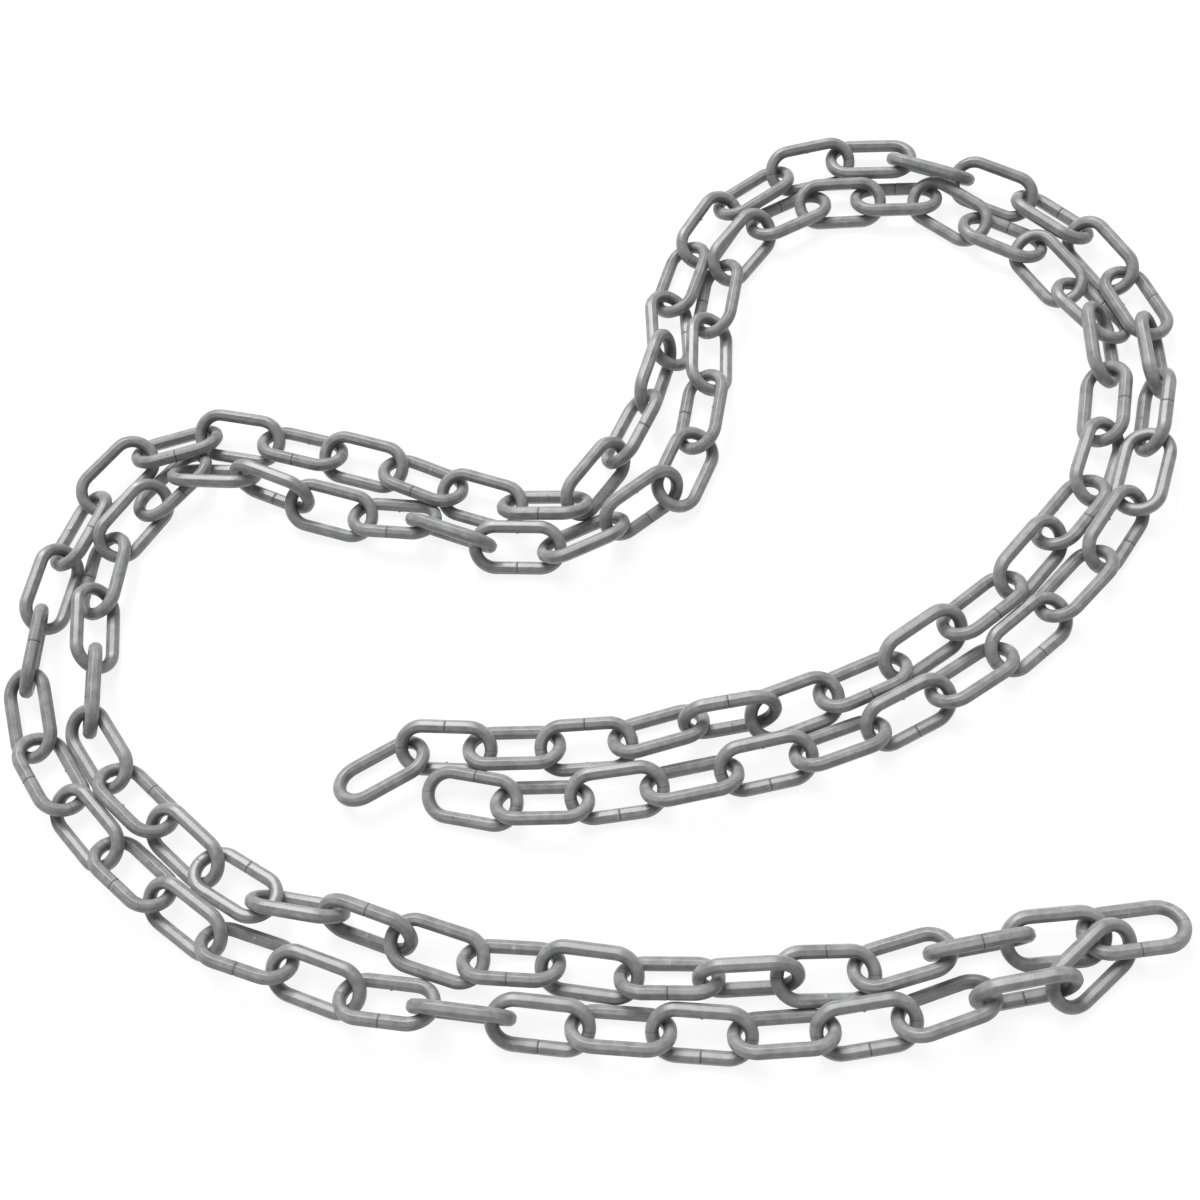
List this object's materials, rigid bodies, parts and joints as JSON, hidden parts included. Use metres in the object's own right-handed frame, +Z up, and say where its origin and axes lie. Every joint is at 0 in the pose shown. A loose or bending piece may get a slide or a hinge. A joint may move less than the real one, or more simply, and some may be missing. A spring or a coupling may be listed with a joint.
{
  "type": "plastic chain",
  "caption": "Moulded grey plastic link chain, folded in half and laid out flat in a double curve",
  "frame": {"origin": "on the floor, under the middle of the box round the laid-out chain", "axes": "+X along the longer side of the layout, towards the fold; +Y across the layout, away from the two free ends and the near row; +Z up, through the thickness of the chain"},
  "size_m": [0.6002, 0.5174, 0.028],
  "materials": {
    "plastic": "moulded, slightly mottled mid grey with a soft sheen, straight from the mould"
  },
  "bodies": {
    "root": {"first_end_link": "plastic", "first_half_links_02_03": "plastic", "first_half_links_04_05": "plastic", "first_half_links_06_07": "plastic", "first_half_links_08_09": "plastic", "first_half_links_10_11": "plastic", "first_half_links_12_13": "plastic", "first_half_links_14_15": "plastic", "first_half_links_16_17": "plastic", "first_half_links_18_19": "plastic", "first_half_links_20_21": "plastic", "first_half_links_22_23": "plastic", "first_half_links_24_25": "plastic", "first_half_links_26_27": "plastic", "first_half_links_28_29": "plastic", "first_half_links_30_31": "plastic", "first_half_links_32_33": "plastic", "first_half_links_34_35": "plastic", "first_half_links_36_37": "plastic", "first_half_links_38_39": "plastic", "first_half_links_40_41": "plastic", "first_half_links_42_43": "plastic", "first_half_links_44_45": "plastic", "first_half_links_46_47": "plastic", "first_half_links_48_49": "plastic", "first_half_links_50_51": "plastic", "first_half_links_52_53": "plastic", "first_half_links_54_55": "plastic", "fold_link": "plastic", "second_end_link": "plastic", "second_half_links_02_03": "plastic", "second_half_links_04_05": "plastic", "second_half_links_06_07": "plastic", "second_half_links_08_09": "plastic", "second_half_links_10_11": "plastic", "second_half_links_12_13": "plastic", "second_half_links_14_15": "plastic", "second_half_links_16_17": "plastic", "second_half_links_18_19": "plastic", "second_half_links_20_21": "plastic", "second_half_links_22_23": "plastic", "second_half_links_24_25": "plastic", "second_half_links_26_27": "plastic", "second_half_links_28_29": "plastic", "second_half_links_30_31": "plastic", "second_half_links_32_33": "plastic", "second_half_links_34_35": "plastic", "second_half_links_36_37": "plastic", "second_half_links_38_39": "plastic", "second_half_links_40_41": "plastic", "second_half_links_42_43": "plastic", "second_half_links_44_45": "plastic", "second_half_links_46_47": "plastic", "second_half_links_48_49": "plastic", "second_half_links_50_51": "plastic", "second_half_links_52_53": "plastic", "second_half_links_54_55": "plastic", "second_half_links_56": "plastic"}
  },
  "joints": []
}
